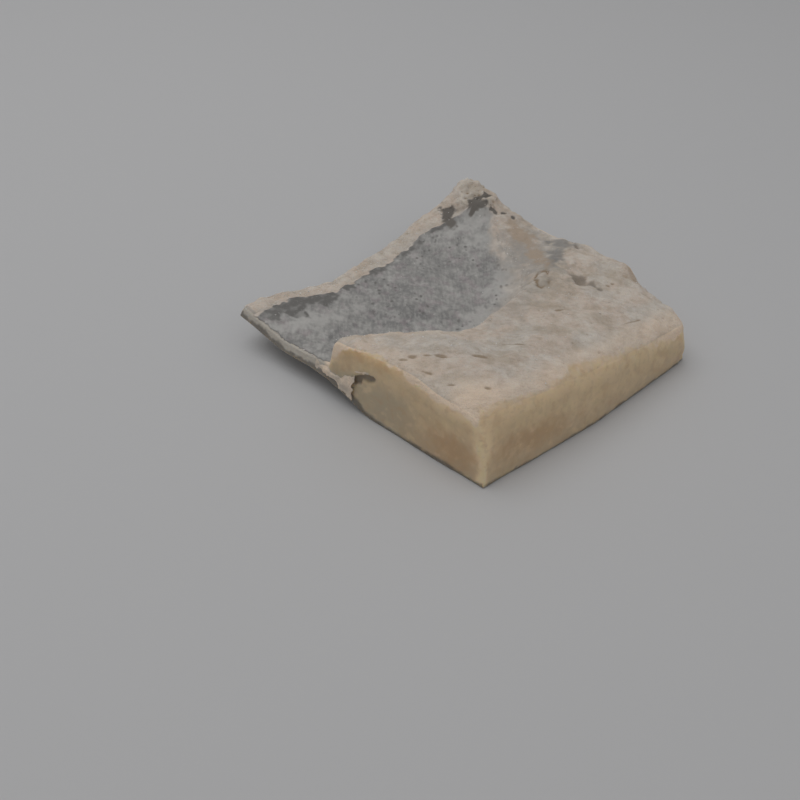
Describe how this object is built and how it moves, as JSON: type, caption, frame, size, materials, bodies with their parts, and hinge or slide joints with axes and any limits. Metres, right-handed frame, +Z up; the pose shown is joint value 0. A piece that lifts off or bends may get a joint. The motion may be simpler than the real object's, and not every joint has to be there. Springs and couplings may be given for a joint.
{
  "type": "salted dried ling",
  "caption": "Cut of salted, dried ling lying skin side down: a thick craggy back loin with smooth knife-cut faces that steps down to a thin lined belly flap, curled up at its rear corner.",
  "frame": {"origin": "centre of the bounding box in plan, on the plane that the skin side rests on", "axes": "+Z up; +X across the fish from the belly flap's lip to the back edge; +Y along the fish from the front cut to the rear cut"},
  "size_m": [0.1424, 0.1349, 0.0321],
  "materials": {
    "flesh": "salt-cured fish flesh: dry, craggy and cream on top, waxy and amber on the knife cuts",
    "lining": "dried belly lining: thin grey membrane frosted with salt, with dark blotches",
    "skin": "dried fish skin: grey-brown, mottled, with small close scales",
    "salt": "loose curing salt: small cloudy white grains"
  },
  "bodies": {
    "root": {"ling_piece": "flesh"}
  },
  "joints": []
}
